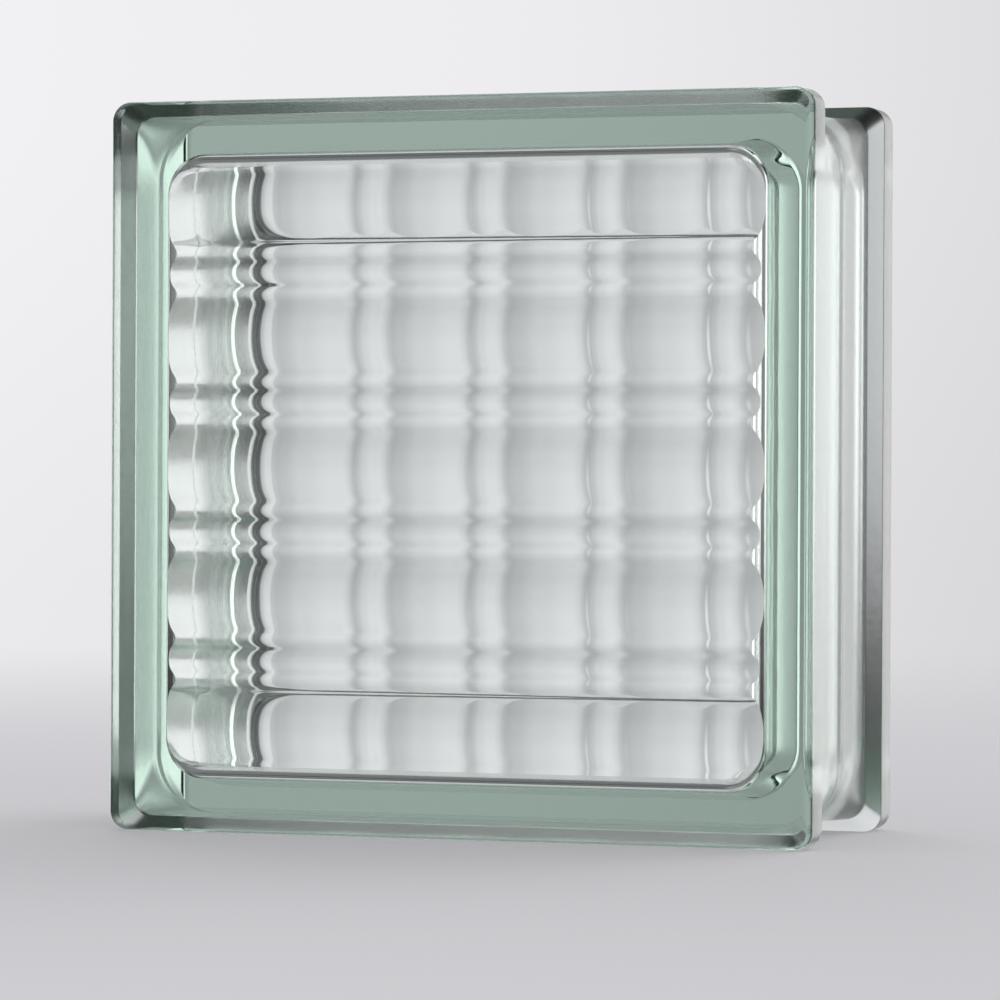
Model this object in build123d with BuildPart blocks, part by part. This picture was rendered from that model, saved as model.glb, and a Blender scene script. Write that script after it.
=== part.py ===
"""Hollow glass building block, 190 x 190 x 80 mm, cross-fluted, standing on its edge.

The block is two pressed glass halves fused mouth to mouth at mid-depth. Each half is an open pan:
a flat outer face with a flange round it, a side wall set back from the flange, and a fluted floor
inside. The front half's flutes run across and the back half's run up and down.

Millimetres. X is the width, +Y points to the back, Z is up. The origin is under the middle of the
block, on the surface that it stands on. The outer face of the front half looks along -Y.
"""

from build123d import *
import math
import os

# Overall size
block_width = 190.0
block_height = 190.0
block_depth = 80.0

# Flange round each outer face, with a shoulder that slopes down to the side wall
flange_thickness = 10.5
flange_corner_radius = 5.0
face_arris_radius = 2.0
shoulder_run = 4.6
shoulder_arris_radius = 0.9

# Side wall, set back from the flange to hold the mortar, its corners rounder towards the seam
channel_depth = 3.5
root_corner_radius = 5.0
seam_corner_radius = 15.5
channel_root_radius = 2.0

# Rounded bead that the fused seam leaves, half of it on each pressing
bead_width = 3.0
bead_height = 0.5

# Cavity, drafted so that the plunger comes out
floor_thickness = 6.5
wall_at_floor = 10.5
wall_at_seam = 7.0
cavity_corner_radius = 10.0
cavity_edge_radius = 5.0

# Flutes on the cavity's floor, round crests with rounded valleys between them
wide_flute = 22.7
narrow_flute = 10.7
wide_rise = 3.3
narrow_rise = 1.6
valley_radius = 4.0
wide_count = 5
ridge_loss = 0.3

# Sizes that follow from the ones above
half_depth = block_depth / 2
root_depth = flange_thickness + shoulder_run
bead_start = half_depth - bead_width
pattern_width = wide_count * wide_flute + (wide_count - 1) * narrow_flute

# A seat lies on a half's outer face, with its X along the flutes and its Z into the block
front_seat = Plane(origin=(0, -half_depth, block_height / 2), x_dir=(1, 0, 0), z_dir=(0, 1, 0))
back_seat = Plane(origin=(0, half_depth, block_height / 2), x_dir=(0, 0, 1), z_dir=(0, -1, 0))


def outline(seat, depth, length, height, inset, corner_radius):
    """Rounded rectangle at a depth below the outer face, set in from the block's edge."""
    with BuildSketch(seat.offset(depth)) as shape:
        RectangleRounded(length - 2 * inset, height - 2 * inset, corner_radius)
    return shape.sketch


def ring(half, seat, depth):
    """The edges that run round a half at a depth below its outer face."""
    return half.edges().filter_by(lambda edge: abs(seat.to_local_coords(edge.center()).Z - depth) < 0.01)


def flute_profile(seat, height):
    """Section across the flutes: the glass from the outer face up to the row of rounded crests."""
    with BuildSketch(Plane(origin=seat.origin, x_dir=seat.y_dir, z_dir=seat.x_dir)) as profile:
        with BuildLine():
            surface = Line((-height / 2, floor_thickness), (-pattern_width / 2, floor_thickness))
            for number in range(2 * wide_count - 1):
                is_wide = number % 2 == 0
                width = wide_flute if is_wide else narrow_flute
                rise = wide_rise if is_wide else narrow_rise
                both_radii = (width**2 / 4 + rise**2) / (2 * rise)
                slope = math.degrees(math.asin(width / 2 / both_radii))
                surface = JernArc(surface @ 1, surface % 1, valley_radius, slope)
                surface = JernArc(surface @ 1, surface % 1, both_radii - valley_radius, -2 * slope)
                surface = JernArc(surface @ 1, surface % 1, valley_radius, slope)
            Polyline(
                surface @ 1,
                (height / 2, floor_thickness),
                (height / 2, 0),
                (-height / 2, 0),
                (-height / 2, floor_thickness),
            )
        make_face()
    return profile.sketch


def plunger(seat, length, height):
    """The cavity of one half: drafted sides, a rounded end edge and the hollows for the flutes."""
    end_depth = floor_thickness - ridge_loss
    end = outline(seat, end_depth, length, height, channel_depth + wall_at_floor, cavity_corner_radius)
    mouth = outline(seat, half_depth, length, height, channel_depth + wall_at_seam, cavity_corner_radius)
    with BuildPart() as cavity:
        loft([end, mouth], ruled=True)
        end_face = cavity.faces().sort_by(Axis(seat.origin, seat.z_dir))[0]
        fillet(end_face.edges(), cavity_edge_radius)
        extrude(flute_profile(seat, height), amount=length / 2, both=True, mode=Mode.SUBTRACT)
    return cavity.part


def pressed_half(seat, length, height):
    """One pressing. Length runs along its flutes and height across them."""
    shoulder_top = outline(seat, flange_thickness, length, height, 0, flange_corner_radius)
    root = outline(seat, root_depth, length, height, channel_depth, root_corner_radius)
    bead_foot = outline(seat, bead_start, length, height, channel_depth, seam_corner_radius)
    bead_top = outline(
        seat, half_depth, length, height, channel_depth - bead_height, seam_corner_radius + bead_height
    )
    with BuildPart() as half:
        # Flange and its sloping shoulder
        extrude(outline(seat, 0, length, height, 0, flange_corner_radius), amount=flange_thickness)
        loft([shoulder_top, root], ruled=True)
        # Side wall, down to the bead
        loft([root, bead_foot], ruled=True)
        # Soft arris on the face and the shoulder, and a round root at the foot of the shoulder
        fillet(ring(half, seat, 0), face_arris_radius)
        fillet(ring(half, seat, flange_thickness), shoulder_arris_radius)
        fillet(ring(half, seat, root_depth), channel_root_radius)
        # Half of the seam's bead
        loft([bead_foot, bead_top], ruled=True)
        add(plunger(seat, length, height), mode=Mode.SUBTRACT)
    return half


front_half = pressed_half(front_seat, block_width, block_height)
front_half.part.label = "front_half"

back_half = pressed_half(back_seat, block_height, block_width)
back_half.part.label = "back_half"

os.makedirs("parts", exist_ok=True)
export_step(front_half.part, "parts/front_half.step")
export_step(back_half.part, "parts/back_half.step")

glass_volume = front_half.part.volume + back_half.part.volume
print(f"glass volume {glass_volume / 1e6:.3f} litres, {glass_volume * 2.5e-6:.2f} kg")
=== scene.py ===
import math

import bmesh
import bpy
from mathutils import Matrix, Vector


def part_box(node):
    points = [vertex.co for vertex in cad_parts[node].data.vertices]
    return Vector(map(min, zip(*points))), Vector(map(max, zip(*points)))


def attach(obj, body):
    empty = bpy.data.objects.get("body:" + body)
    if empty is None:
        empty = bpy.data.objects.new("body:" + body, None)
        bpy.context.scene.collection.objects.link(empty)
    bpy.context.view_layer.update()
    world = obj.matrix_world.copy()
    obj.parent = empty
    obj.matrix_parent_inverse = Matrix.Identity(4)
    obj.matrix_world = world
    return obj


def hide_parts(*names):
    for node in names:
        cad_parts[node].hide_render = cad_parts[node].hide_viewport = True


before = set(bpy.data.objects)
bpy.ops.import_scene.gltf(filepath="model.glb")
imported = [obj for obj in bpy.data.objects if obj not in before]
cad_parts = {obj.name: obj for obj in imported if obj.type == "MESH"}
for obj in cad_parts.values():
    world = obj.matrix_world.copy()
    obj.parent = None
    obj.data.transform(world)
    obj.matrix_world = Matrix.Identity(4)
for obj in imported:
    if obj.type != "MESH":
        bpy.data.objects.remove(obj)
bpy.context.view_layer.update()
scene = bpy.context.scene
MM = 0.001


# Glass
# Soda-lime glass, tinted a faint green by the iron in its sand. The faces and pockets came from a
# polished mould and were fire-polished. The mortar side was left with the duller skin of its mould.

def colour(hex_text):
    """An sRGB hex colour as linear red, green, blue and alpha."""
    values = [int(hex_text[i:i + 2], 16) / 255 for i in (0, 2, 4)]
    linear = [v / 12.92 if v <= 0.04045 else ((v + 0.055) / 1.055) ** 2.4 for v in values]
    return (*linear, 1.0)


def add_node(tree, kind, inputs=(), **settings):
    """Adds a node. Inputs are values, sockets or nodes, in order or by name or number; None skips."""
    node = tree.nodes.new(kind)
    for name, value in settings.items():
        setattr(node, name, value)
    pairs = inputs.items() if isinstance(inputs, dict) else enumerate(inputs)
    for key, value in pairs:
        if isinstance(value, bpy.types.Node):
            value = value.outputs[0]
        if isinstance(value, bpy.types.NodeSocket):
            tree.links.new(value, node.inputs[key])
        elif value is not None:
            node.inputs[key].default_value = value
    return node


def glass_material(name, roughness, ripple_size, ripple_height):
    """Clear tinted glass whose skin has ripples of one size and height, in metres."""
    material = bpy.data.materials.new(name)
    material.use_nodes = True
    tree = material.node_tree
    tree.nodes.clear()
    place = add_node(tree, "ShaderNodeTexCoord").outputs["Object"]
    ripples = add_node(tree, "ShaderNodeTexNoise", {
        "Vector": place,
        "Scale": 1 / ripple_size,
        "Detail": 2.0,
        "Roughness": 0.4,
    })
    skin = add_node(tree, "ShaderNodeBump", {
        "Strength": 1.0,
        "Distance": ripple_height,
        "Height": ripples,
    })
    body = add_node(tree, "ShaderNodeBsdfPrincipled", {
        "Base Color": colour("FFFFFF"),
        "Roughness": roughness,
        "IOR": 1.52,
        "Transmission Weight": 1.0,
        "Normal": skin,
    })
    tint = add_node(tree, "ShaderNodeVolumeAbsorption", {
        "Color": colour("9EBFAF"),
        "Density": 18.0,
    })
    add_node(tree, "ShaderNodeOutputMaterial", {
        "Surface": body,
        "Volume": tint,
    })
    return material


# Clear and glossy, with the slow waviness of pressed glass that makes the flutes' lines tremble
glass = glass_material(
    "pressed_soda_lime_glass", roughness=0.0, ripple_size=18 * MM, ripple_height=0.05 * MM)

# The same glass with a satin skin, so that the flange and the channel show soft green light
mortar_side = glass_material(
    "moulded_glass_edge", roughness=0.26, ripple_size=2.5 * MM, ripple_height=0.03 * MM)


# Pressed pockets
# The inside of each half, left by the plunger: drafted side walls, a rounded edge, and a floor of
# wide and narrow flutes. The front half's flutes run across and the back half's up and down.

# The block is as high as it is wide
low, high = (Vector(corner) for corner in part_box("front_half"))
BLOCK_WIDTH = high.x - low.x
HALF_DEPTH = high.y - low.y

CHANNEL_DEPTH = 3.5 * MM
FLOOR_THICKNESS = 6.5 * MM
WALL_AT_FLOOR = 10.5 * MM
WALL_AT_SEAM = 7.0 * MM
POCKET_CORNER_RADIUS = 10.0 * MM
EDGE_RADIUS = 5.0 * MM
WIDE_FLUTE = 22.7 * MM
NARROW_FLUTE = 10.7 * MM
# 0.4 mm lower than in the solids, so that the line under the first wide flute is fainter
WIDE_RISE = 2.9 * MM
NARROW_RISE = 1.6 * MM
VALLEY_RADIUS = 4.0 * MM
WIDE_COUNT = 5
RIDGE_LOSS = 0.3 * MM

PATTERN_WIDTH = WIDE_COUNT * WIDE_FLUTE + (WIDE_COUNT - 1) * NARROW_FLUTE
WALL_DRAFT = (WALL_AT_FLOOR - WALL_AT_SEAM) / (HALF_DEPTH - FLOOR_THICKNESS)
EDGE_REACH = math.sqrt(EDGE_RADIUS ** 2 - (EDGE_RADIUS - RIDGE_LOSS) ** 2)
FLOOR_CORNER_RADIUS = POCKET_CORNER_RADIUS - EDGE_RADIUS + EDGE_REACH
FLOOR_CENTRE = BLOCK_WIDTH / 2 - CHANNEL_DEPTH - WALL_AT_FLOOR - POCKET_CORNER_RADIUS
FLOOR_REACH = FLOOR_CENTRE + FLOOR_CORNER_RADIUS * math.sqrt(0.5)
LAST_VALLEY = PATTERN_WIDTH / 2 - WIDE_FLUTE
WIDE_STEPS = 24
NARROW_STEPS = 16
EDGE_STEPS = 9
WALL_STEPS = 6


def press_tree():
    """Geometry Nodes that press a flat blank into a fluted pocket, rising from the outer face."""
    tree = bpy.data.node_groups.new("press_pocket", "GeometryNodeTree")
    tree.interface.new_socket("Blank", in_out="INPUT", socket_type="NodeSocketGeometry")
    for name in ("Floor Thickness", "Edge Radius", "Ridge Loss", "Wall Draft", "Mouth Depth", "Wide Flute",
                 "Narrow Flute", "Wide Rise", "Narrow Rise", "Valley Radius", "Pattern Width"):
        tree.interface.new_socket(name, in_out="INPUT", socket_type="NodeSocketFloat")
    tree.interface.new_socket("Glass", in_out="INPUT", socket_type="NodeSocketMaterial")
    tree.interface.new_socket("Pocket", in_out="OUTPUT", socket_type="NodeSocketGeometry")
    given = add_node(tree, "NodeGroupInput").outputs
    math_kind = "ShaderNodeMath"

    # Distance from the nearest crest line, and whether that flute is a narrow one
    position = add_node(tree, "GeometryNodeInputPosition")
    across = add_node(tree, "ShaderNodeSeparateXYZ", [position]).outputs["Y"]
    period = add_node(tree, math_kind, [given["Wide Flute"], given["Narrow Flute"]], operation="ADD")
    half_period = add_node(tree, math_kind, [period, 0.5], operation="MULTIPLY")
    off_wide = add_node(tree, math_kind, [across, half_period], operation="PINGPONG")
    off_narrow = add_node(tree, math_kind, [half_period, off_wide], operation="SUBTRACT")
    wide_half = add_node(tree, math_kind, [given["Wide Flute"], 0.5], operation="MULTIPLY")
    is_narrow = add_node(tree, math_kind, [off_wide, wide_half], operation="GREATER_THAN")
    off_crest = add_node(tree, "ShaderNodeMix", [is_narrow, None, off_wide, off_narrow])
    width = add_node(tree, "ShaderNodeMix", [is_narrow, None, given["Wide Flute"], given["Narrow Flute"]])
    rise = add_node(tree, "ShaderNodeMix", [is_narrow, None, given["Wide Rise"], given["Narrow Rise"]])
    half = add_node(tree, math_kind, [width, 0.5], operation="MULTIPLY")

    # Crest and valley arcs that touch, so that their two radii follow from the width and the rise
    half_square = add_node(tree, math_kind, [half, half], operation="MULTIPLY")
    squares = add_node(tree, math_kind, [rise, rise, half_square], operation="MULTIPLY_ADD")
    doubled = add_node(tree, math_kind, [rise, 2.0], operation="MULTIPLY")
    both_radii = add_node(tree, math_kind, [squares, doubled], operation="DIVIDE")
    crest_radius = add_node(tree, math_kind, [both_radii, given["Valley Radius"]], operation="SUBTRACT")
    to_valley = add_node(tree, math_kind, [half, off_crest], operation="SUBTRACT")
    arcs = []
    for radius, distance in ((crest_radius, off_crest), (given["Valley Radius"], to_valley)):
        radius_square = add_node(tree, math_kind, [radius, radius], operation="MULTIPLY")
        square = add_node(tree, math_kind, [distance, distance], operation="MULTIPLY")
        rest = add_node(tree, math_kind, [radius_square, square], operation="SUBTRACT")
        arcs.append(add_node(tree, math_kind, [rest], operation="SQRT"))
    sunk = add_node(tree, math_kind, [crest_radius, rise], operation="SUBTRACT")
    crest_height = add_node(tree, math_kind, [arcs[0], sunk], operation="SUBTRACT")
    valley_height = add_node(tree, math_kind, [given["Valley Radius"], arcs[1]], operation="SUBTRACT")
    slope = add_node(tree, math_kind, [half, both_radii], operation="DIVIDE")
    valley_reach = add_node(tree, math_kind, [slope, given["Valley Radius"]], operation="MULTIPLY")
    in_valley = add_node(tree, math_kind, [to_valley, valley_reach], operation="LESS_THAN")
    flute = add_node(tree, "ShaderNodeMix", [in_valley, None, crest_height, valley_height])
    from_middle = add_node(tree, math_kind, [across], operation="ABSOLUTE")
    reach = add_node(tree, math_kind, [given["Pattern Width"], 0.5], operation="MULTIPLY")
    inside = add_node(tree, math_kind, [from_middle, reach], operation="LESS_THAN")
    height = add_node(tree, math_kind, [flute, inside], operation="MULTIPLY")

    # Depth of the point: the fluted glass at the foot of the wall, the mouth at its top
    climb = add_node(tree, "GeometryNodeInputNamedAttribute", {"Name": "climb"}, data_type="FLOAT")
    wall_height = add_node(
        tree, math_kind, [given["Mouth Depth"], given["Floor Thickness"]], operation="SUBTRACT")
    still_open = add_node(tree, math_kind, [wall_height, height], operation="SUBTRACT")
    above = add_node(tree, math_kind, [climb, still_open, height], operation="MULTIPLY_ADD")
    depth = add_node(tree, math_kind, [above, given["Floor Thickness"]], operation="ADD")

    # Growth of the outline with depth: the round edge, then the draft of the wall
    edge_square = add_node(
        tree, math_kind, [given["Edge Radius"], given["Edge Radius"]], operation="MULTIPLY")
    centre = add_node(tree, math_kind, [given["Edge Radius"], given["Ridge Loss"]], operation="SUBTRACT")
    centre_square = add_node(tree, math_kind, [centre, centre], operation="MULTIPLY")
    at_floor = add_node(tree, math_kind, [edge_square, centre_square], operation="SUBTRACT")
    at_floor = add_node(tree, math_kind, [at_floor], operation="SQRT")
    short = add_node(tree, math_kind, [centre, above], operation="SUBTRACT")
    short = add_node(tree, math_kind, [short, 0.0], operation="MAXIMUM")
    short_square = add_node(tree, math_kind, [short, short], operation="MULTIPLY")
    round_rest = add_node(tree, math_kind, [edge_square, short_square], operation="SUBTRACT")
    rounding = add_node(tree, math_kind, [round_rest], operation="SQRT")
    rounding = add_node(tree, math_kind, [rounding, at_floor], operation="SUBTRACT")
    growth = add_node(tree, math_kind, [above, given["Wall Draft"], rounding], operation="MULTIPLY_ADD")

    outward = add_node(
        tree, "GeometryNodeInputNamedAttribute", {"Name": "outward"}, data_type="FLOAT_VECTOR")
    widen = add_node(tree, "ShaderNodeVectorMath", {0: outward, "Scale": growth}, operation="SCALE")
    sink = add_node(tree, "ShaderNodeCombineXYZ", {"Z": depth})
    offset = add_node(tree, "ShaderNodeVectorMath", [widen, sink], operation="ADD")
    pressed = add_node(tree, "GeometryNodeSetPosition", {"Geometry": given["Blank"], "Offset": offset})
    real = add_node(tree, "GeometryNodeRealizeInstances", [pressed])
    finished = add_node(tree, "GeometryNodeSetMaterial", {"Geometry": real, "Material": given["Glass"]})
    add_node(tree, "NodeGroupOutput", [finished])
    return tree


def blank_lines():
    """Lines of the blank in one direction, with one on each valley between two flutes."""
    inner = []
    side = -LAST_VALLEY
    for number in range(1, 2 * WIDE_COUNT - 2):
        width, steps = (NARROW_FLUTE, NARROW_STEPS) if number % 2 else (WIDE_FLUTE, WIDE_STEPS)
        inner += [side + width * step / steps for step in range(steps)]
        side += width
    spread = [(FLOOR_REACH - LAST_VALLEY) * step / WIDE_STEPS for step in range(1, WIDE_STEPS + 1)]
    below = [-LAST_VALLEY - step for step in reversed(spread)]
    above = [LAST_VALLEY + step for step in spread]
    return below + inner + [LAST_VALLEY] + above


def corner_tilt(line):
    """How far round the floor's corner a line lies, as the sine of the outline's turn there."""
    return min(1.0, max(0.0, abs(line) - FLOOR_CENTRE) / FLOOR_CORNER_RADIUS)


def spread_out(line, crossing):
    """Spreads the lines outside the last valleys out to the rounded outline on a crossing line."""
    if abs(line) <= LAST_VALLEY:
        return line
    outline = FLOOR_CENTRE + FLOOR_CORNER_RADIUS * math.sqrt(1 - corner_tilt(crossing) ** 2)
    share = (abs(line) - LAST_VALLEY) / (FLOOR_REACH - LAST_VALLEY)
    return math.copysign(LAST_VALLEY + share * (outline - LAST_VALLEY), line)


def pocket_blank():
    """A flat grid inside the floor's rounded outline, with a skirt of loops for the wall."""
    lines = blank_lines()
    count = len(lines)
    points, outwards, climbs = [], [], []
    for row, v in enumerate(lines):
        for column, u in enumerate(lines):
            points.append((spread_out(u, v), spread_out(v, u), 0.0))
            if column not in (0, count - 1) and row in (0, count - 1):
                tilt = corner_tilt(u)
                outwards.append((math.copysign(tilt, u), math.copysign(math.sqrt(1 - tilt ** 2), v), 0.0))
            else:
                tilt = corner_tilt(v)
                share = max(0.0, (abs(u) - LAST_VALLEY) / (FLOOR_REACH - LAST_VALLEY))
                aside = math.copysign(tilt, v) if column in (0, count - 1) else 0.0
                outwards.append((math.copysign(share * math.sqrt(1 - tilt ** 2), u), aside, 0.0))
            climbs.append(0.0)
    faces = [
        (row * count + column, row * count + column + 1,
         (row + 1) * count + column + 1, (row + 1) * count + column)
        for row in range(count - 1) for column in range(count - 1)
    ]
    rim = list(range(count))
    rim += [row * count + count - 1 for row in range(1, count)]
    rim += [(count - 1) * count + column for column in range(count - 2, -1, -1)]
    rim += [row * count for row in range(count - 2, 0, -1)]

    wall_height = HALF_DEPTH - FLOOR_THICKNESS
    steps = [
        EDGE_RADIUS * (1 - math.cos(math.pi / 2 * step / EDGE_STEPS)) / wall_height
        for step in range(1, EDGE_STEPS + 1)
    ]
    steps += [steps[-1] + (1 - steps[-1]) * step / WALL_STEPS for step in range(1, WALL_STEPS + 1)]
    lower = rim
    for step in steps:
        upper = list(range(len(points), len(points) + len(rim)))
        points += [points[index] for index in rim]
        outwards += [outwards[index] for index in rim]
        climbs += [step] * len(rim)
        for here in range(len(rim)):
            following = (here + 1) % len(rim)
            faces.append((lower[here], upper[here], upper[following], lower[following]))
        lower = upper

    mesh = bpy.data.meshes.new("pocket_blank")
    mesh.from_pydata(points, [], faces)
    mesh.attributes.new("climb", "FLOAT", "POINT").data.foreach_set("value", climbs)
    flat = [value for out in outwards for value in out]
    mesh.attributes.new("outward", "FLOAT_VECTOR", "POINT").data.foreach_set("vector", flat)
    return mesh


def press_pocket(name, face_y, along, across, into):
    """Presses the blank and returns the pocket as a plain mesh, set in the half with that face."""
    blank_object = bpy.data.objects.new(name, blank)
    scene.collection.objects.link(blank_object)
    press = blank_object.modifiers.new("press", "NODES")
    press.node_group = press_group
    sizes = {
        "Floor Thickness": FLOOR_THICKNESS, "Edge Radius": EDGE_RADIUS, "Ridge Loss": RIDGE_LOSS,
        "Wall Draft": WALL_DRAFT, "Mouth Depth": HALF_DEPTH, "Wide Flute": WIDE_FLUTE,
        "Narrow Flute": NARROW_FLUTE, "Wide Rise": WIDE_RISE, "Narrow Rise": NARROW_RISE,
        "Valley Radius": VALLEY_RADIUS, "Pattern Width": PATTERN_WIDTH, "Glass": glass,
    }
    for item in press_group.interface.items_tree:
        if item.name in sizes:
            press[item.identifier] = sizes[item.name]
    evaluated = blank_object.evaluated_get(bpy.context.evaluated_depsgraph_get())
    pocket = bpy.data.meshes.new_from_object(evaluated)
    bpy.data.objects.remove(blank_object)
    axes = Matrix((along, across, into)).transposed().to_4x4()
    pocket.transform(Matrix.Translation((0, face_y, BLOCK_WIDTH / 2)) @ axes)
    return pocket


blank = pocket_blank()
press_group = press_tree()
front_pocket = press_pocket("front_pocket", -HALF_DEPTH, (1, 0, 0), (0, 0, -1), (0, 1, 0))
back_pocket = press_pocket("back_pocket", HALF_DEPTH, (0, 0, 1), (-1, 0, 0), (0, -1, 0))


# Outside of the block
# The mould gave each half a flat outer face, a flange round it with soft arrises, and a side wall
# set back to hold mortar. The two halves were fused at the seam, which left a low rounded bead.

FLANGE_THICKNESS = 10.5 * MM
FLANGE_CORNER_RADIUS = 5.0 * MM
FACE_ARRIS_RADIUS = 2.0 * MM
SHOULDER_RUN = 4.6 * MM
SHOULDER_ARRIS_RADIUS = 0.9 * MM
ROOT_CORNER_RADIUS = 5.0 * MM
ROOT_RADIUS = 2.0 * MM
SEAM_CORNER_RADIUS = 15.5 * MM
BEAD_WIDTH = 3.0 * MM
BEAD_HEIGHT = 0.5 * MM
# A ring on the flat face just inside its arris keeps the face's shading flat
FACE_RING_INSET = 2.4 * MM
ARRIS_STEPS = 7
WALL_RINGS = 5
BEAD_STEPS = 6
CORNER_STEPS = 14
SIDE_STEPS = 16
WELD_DISTANCE = 0.01 * MM
SHARP_ANGLE = math.radians(20)
POLISHED_SLOT, MORTAR_SIDE_SLOT = 0, 1


def rounded_corner(before, corner, after, radius):
    """Points along the arc that rounds one corner of the profile."""
    arriving, leaving = (corner - before).normalized(), (after - corner).normalized()
    turn = arriving.angle(leaving)
    start = corner - arriving * radius * math.tan(turn / 2)
    towards_centre = (leaving - arriving * math.cos(turn)) / math.sin(turn)
    for step in range(ARRIS_STEPS + 1):
        angle = turn * step / ARRIS_STEPS
        yield start + radius * (arriving * math.sin(angle) + towards_centre * (1 - math.cos(angle)))


def half_profile():
    """Loops of one half from its face to the seam: depth, inset from the edge, corner radius."""
    root_depth = FLANGE_THICKNESS + SHOULDER_RUN
    bead_depth = HALF_DEPTH - BEAD_WIDTH
    face, edge = Vector((0, FACE_RING_INSET)), Vector((0, 0))
    shoulder, root = Vector((FLANGE_THICKNESS, 0)), Vector((root_depth, CHANNEL_DEPTH))
    bead = Vector((bead_depth, CHANNEL_DEPTH))
    profile = [face]
    profile += rounded_corner(face, edge, shoulder, FACE_ARRIS_RADIUS)
    profile += rounded_corner(edge, shoulder, root, SHOULDER_ARRIS_RADIUS)
    profile += rounded_corner(shoulder, root, bead, ROOT_RADIUS)
    wall_start = profile[-1]
    profile += [wall_start.lerp(bead, step / WALL_RINGS) for step in range(1, WALL_RINGS)]
    for step in range(BEAD_STEPS + 1):
        rise = BEAD_HEIGHT * (1 - math.cos(math.pi * step / BEAD_STEPS)) / 2
        profile.append(Vector((bead_depth + BEAD_WIDTH * step / BEAD_STEPS, CHANNEL_DEPTH - rise)))
    loops = []
    for depth, inset in profile:
        if depth <= FLANGE_THICKNESS:
            radius = FLANGE_CORNER_RADIUS - inset
        else:
            along = min(1.0, max(0.0, (depth - root_depth) / (bead_depth - root_depth)))
            radius = ROOT_CORNER_RADIUS + (SEAM_CORNER_RADIUS - ROOT_CORNER_RADIUS) * along
            radius += max(0.0, CHANNEL_DEPTH - inset) if depth > root_depth else 0.0
        loops.append((depth, inset, radius))
    return loops


def loop_points(inset, radius):
    """Points round a rounded square in X and Z, the same number on every loop."""
    half_side = BLOCK_WIDTH / 2 - inset - radius
    corners = [Vector(signs) * half_side for signs in ((1, -1), (1, 1), (-1, 1), (-1, -1))]
    points = []
    for number, corner in enumerate(corners):
        start = math.pi / 2 * (number - 1)
        for step in range(CORNER_STEPS + 1):
            angle = start + math.pi / 2 * step / CORNER_STEPS
            points.append(corner + radius * Vector((math.cos(angle), math.sin(angle))))
        here = points[-1]
        there = corners[(number + 1) % 4] + here - corner
        points += [here.lerp(there, step / SIDE_STEPS) for step in range(1, SIDE_STEPS)]
    return points


def outer_shell():
    """The whole outside, from the front face over both halves to the back face."""
    half = half_profile()
    profile = [(depth - HALF_DEPTH, inset, radius) for depth, inset, radius in half]
    profile += [(HALF_DEPTH - depth, inset, radius) for depth, inset, radius in reversed(half[:-1])]
    mesh = bmesh.new()
    loops = []
    for y, inset, radius in profile:
        loops.append([
            mesh.verts.new((point.x, y, point.y + BLOCK_WIDTH / 2))
            for point in loop_points(inset, radius)
        ])
    count = len(loops[0])
    for near, far in zip(loops, loops[1:]):
        for here in range(count):
            following = (here + 1) % count
            face = mesh.faces.new((near[here], near[following], far[following], far[here]))
            is_mortar_side = abs(face.calc_center_median().y) < HALF_DEPTH - FACE_ARRIS_RADIUS
            face.material_index = MORTAR_SIDE_SLOT if is_mortar_side else POLISHED_SLOT
    mesh.faces.new(list(reversed(loops[0])))
    mesh.faces.new(loops[-1])
    return mesh


block = outer_shell()
bmesh.ops.recalc_face_normals(block, faces=block.faces)
block.from_mesh(front_pocket)
block.from_mesh(back_pocket)
bmesh.ops.remove_doubles(block, verts=block.verts, dist=WELD_DISTANCE)
block_mesh = bpy.data.meshes.new("glass_block")
block.to_mesh(block_mesh)
block.free()
block_mesh.materials.append(glass)
block_mesh.materials.append(mortar_side)
block_mesh.shade_smooth()
block_mesh.set_sharp_from_angle(angle=SHARP_ANGLE)
glass_block = bpy.data.objects.new("glass_block", block_mesh)
scene.collection.objects.link(glass_block)
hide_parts("front_half", "back_half")
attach(glass_block, "root")


# Floor and light
# A plain pale floor that fades into a pale backdrop. The backdrop is brightest behind the block on
# the left, a soft lamp stands behind it on the right, and the room on the camera's side is dim.

ROOM_FLOOR_SIZE = 4.0
# Distances from the block at which the floor starts to fade and is gone
FADE_START = 0.15
FADE_END = 1.4
ROOM_FLOOR_GLOW = 0.35

floor_paint = bpy.data.materials.new("matt_floor")
floor_paint.use_nodes = True
tree = floor_paint.node_tree
tree.nodes.clear()
floor_place = add_node(tree, "ShaderNodeTexCoord").outputs["Object"]
floor_distance = add_node(tree, "ShaderNodeVectorMath", [floor_place], operation="LENGTH").outputs["Value"]
floor_cover = add_node(tree, "ShaderNodeMapRange", {
    "Value": floor_distance,
    "From Min": FADE_START,
    "From Max": FADE_END,
    "To Min": 1.0,
    "To Max": 0.0,
}, interpolation_type="SMOOTHSTEP")
by_camera = add_node(tree, "ShaderNodeLightPath").outputs["Is Camera Ray"]
floor_cover = add_node(tree, "ShaderNodeMath", [floor_cover, by_camera], operation="MULTIPLY")
matt = add_node(tree, "ShaderNodeBsdfDiffuse", {"Color": colour("E6E6E8")})
glow = add_node(tree, "ShaderNodeEmission", {"Color": colour("D8D8DC"), "Strength": ROOM_FLOOR_GLOW})
floor_look = add_node(tree, "ShaderNodeAddShader", [matt, glow])
nothing = add_node(tree, "ShaderNodeBsdfTransparent")
floor_mix = add_node(tree, "ShaderNodeMixShader", [floor_cover, nothing, floor_look])
add_node(tree, "ShaderNodeOutputMaterial", [floor_mix])

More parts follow.
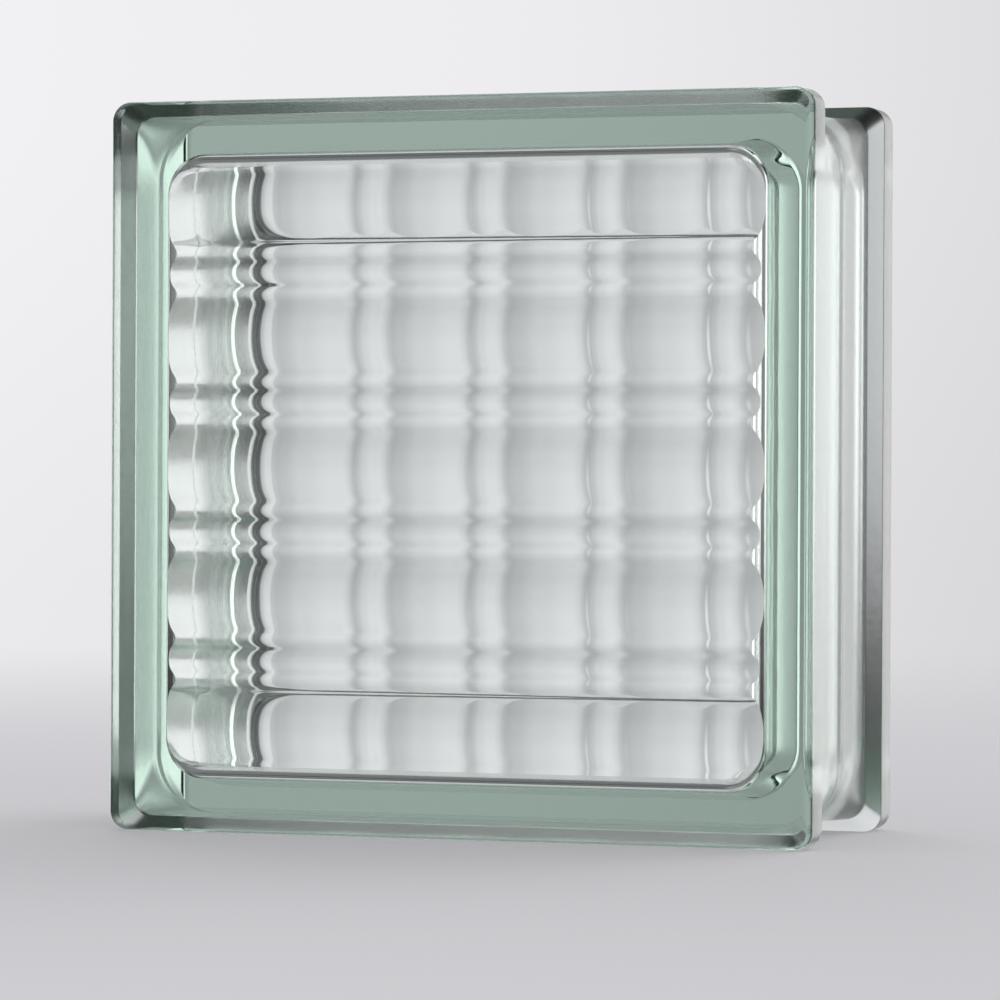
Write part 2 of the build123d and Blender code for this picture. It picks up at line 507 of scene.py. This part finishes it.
floor_mesh = bpy.data.meshes.new("floor")
floor_corners = [
    (x * ROOM_FLOOR_SIZE / 2, y * ROOM_FLOOR_SIZE / 2, 0) for x, y in ((-1, -1), (1, -1), (1, 1), (-1, 1))]
floor_mesh.from_pydata(floor_corners, [], [(0, 1, 2, 3)])
floor_mesh.materials.append(floor_paint)
studio_floor = bpy.data.objects.new("floor", floor_mesh)
scene.collection.objects.link(studio_floor)

# Brightness by compass angle in degrees, from the left over the back to the right
ROUND_LIGHT = (
    (-90, 0.32), (-66, 0.10), (-58, 0.12), (-51, 0.72), (-42, 0.93), (-33, 0.95), (-21, 0.86),
    (-9, 0.70), (-2, 0.63), (6, 0.70), (20, 0.90), (50, 0.70), (90, 0.32),
)
# Brightness by height above the horizon in degrees
HEIGHT_LIGHT = (
    (-90, 0.60), (-60, 0.85), (-30, 0.86), (-12, 0.84), (-3, 0.93), (5, 1.0), (24, 0.98),
    (45, 0.98), (90, 0.70),
)
BACKDROP_TINT = (1.0, 0.985, 1.015)
LAMP_COMPASS = math.radians(29)
LAMP_HEIGHT = math.radians(5)
LAMP_FULL_ANGLE = math.radians(17)
LAMP_EDGE_ANGLE = math.radians(32)
LAMP_LIGHT = 2.2
# The least brightness that the camera itself sees, so that the dim side of the room looks pale
ROOM_SEEN = 0.62
# Inputs of a node that mixes colours
FACTOR, FIRST_COLOUR, SECOND_COLOUR = 0, 6, 7
MIXED_COLOUR = 2


def ramp(tree, factor, stops):
    """A smooth grey scale through pairs of a position and a brightness."""
    node = add_node(tree, "ShaderNodeValToRGB", [factor])
    node.color_ramp.interpolation = "EASE"
    elements = node.color_ramp.elements
    for position, value in stops[1:-1]:
        elements.new(position)
    for element, (position, value) in zip(elements, stops):
        element.position = position
        element.color = (value, value, value, 1.0)
    return node


world = bpy.data.worlds.new("studio")
scene.world = world
world.use_nodes = True
tree = world.node_tree
tree.nodes.clear()
direction = add_node(tree, "ShaderNodeTexCoord").outputs["Generated"]
towards = add_node(tree, "ShaderNodeSeparateXYZ", [direction]).outputs
compass = add_node(tree, "ShaderNodeMath", [towards["X"], towards["Y"]], operation="ARCTAN2")
round_share = add_node(tree, "ShaderNodeMapRange", {
    "Value": compass, "From Min": -math.pi / 2, "From Max": math.pi / 2})
round_light = ramp(tree, round_share, [(degrees / 180 + 0.5, value) for degrees, value in ROUND_LIGHT])
height_share = add_node(tree, "ShaderNodeMapRange", {
    "Value": towards["Z"], "From Min": -1.0, "From Max": 1.0})
height_light = ramp(tree, height_share, [
    (math.sin(math.radians(degrees)) / 2 + 0.5, value) for degrees, value in HEIGHT_LIGHT])
backdrop = add_node(tree, "ShaderNodeVectorMath", [round_light, height_light], operation="MULTIPLY")
backdrop = add_node(tree, "ShaderNodeVectorMath", [backdrop, BACKDROP_TINT], operation="MULTIPLY")
lamp_way = (
    math.sin(LAMP_COMPASS) * math.cos(LAMP_HEIGHT),
    math.cos(LAMP_COMPASS) * math.cos(LAMP_HEIGHT),
    math.sin(LAMP_HEIGHT),
)
near_lamp = add_node(tree, "ShaderNodeVectorMath", [direction, lamp_way], operation="DOT_PRODUCT")
lamp_share = add_node(tree, "ShaderNodeMapRange", {
    "Value": near_lamp.outputs["Value"],
    "From Min": math.cos(LAMP_EDGE_ANGLE),
    "From Max": math.cos(LAMP_FULL_ANGLE),
}, interpolation_type="SMOOTHSTEP")
room = add_node(tree, "ShaderNodeMix", {
    FACTOR: lamp_share,
    FIRST_COLOUR: backdrop,
    SECOND_COLOUR: (LAMP_LIGHT, LAMP_LIGHT, LAMP_LIGHT, 1.0),
}, data_type="RGBA").outputs[MIXED_COLOUR]
pale_room = add_node(tree, "ShaderNodeVectorMath", [room, (ROOM_SEEN,) * 3], operation="MAXIMUM")
by_camera = add_node(tree, "ShaderNodeLightPath").outputs["Is Camera Ray"]
seen = add_node(tree, "ShaderNodeMix", {
    FACTOR: by_camera,
    FIRST_COLOUR: room,
    SECOND_COLOUR: pale_room,
}, data_type="RGBA").outputs[MIXED_COLOUR]
background = add_node(tree, "ShaderNodeBackground", {"Color": seen, "Strength": 1.0})
add_node(tree, "ShaderNodeOutputWorld", [background])


# Camera
# A long lens 1.2 metres away at the block's middle height. It stands to the right of the front
# face, so that the channel and the rear flange show beside it.

CAMERA_PLACE = (0.4018, -1.1582, 0.093)
CAMERA_YAW = math.radians(19.17)
CAMERA_PITCH = math.radians(-0.30)
CAMERA_ROLL = math.radians(0.25)
CAMERA_FOCAL_WIDTHS = 4.67

camera = bpy.data.cameras.new("camera")
camera.sensor_width = 36.0
camera.lens = camera.sensor_width * CAMERA_FOCAL_WIDTHS
camera.clip_start = 0.01
camera_object = bpy.data.objects.new("camera", camera)
scene.collection.objects.link(camera_object)
camera_object.matrix_world = (
    Matrix.Translation(CAMERA_PLACE)
    @ Matrix.Rotation(CAMERA_YAW, 4, "Z")
    @ Matrix.Rotation(math.pi / 2 + CAMERA_PITCH, 4, "X")
    @ Matrix.Rotation(CAMERA_ROLL, 4, "Z")
)
scene.camera = camera_object

scene.view_settings.view_transform = "Standard"
scene.cycles.max_bounces = 24
scene.cycles.transmission_bounces = 24
scene.cycles.glossy_bounces = 12
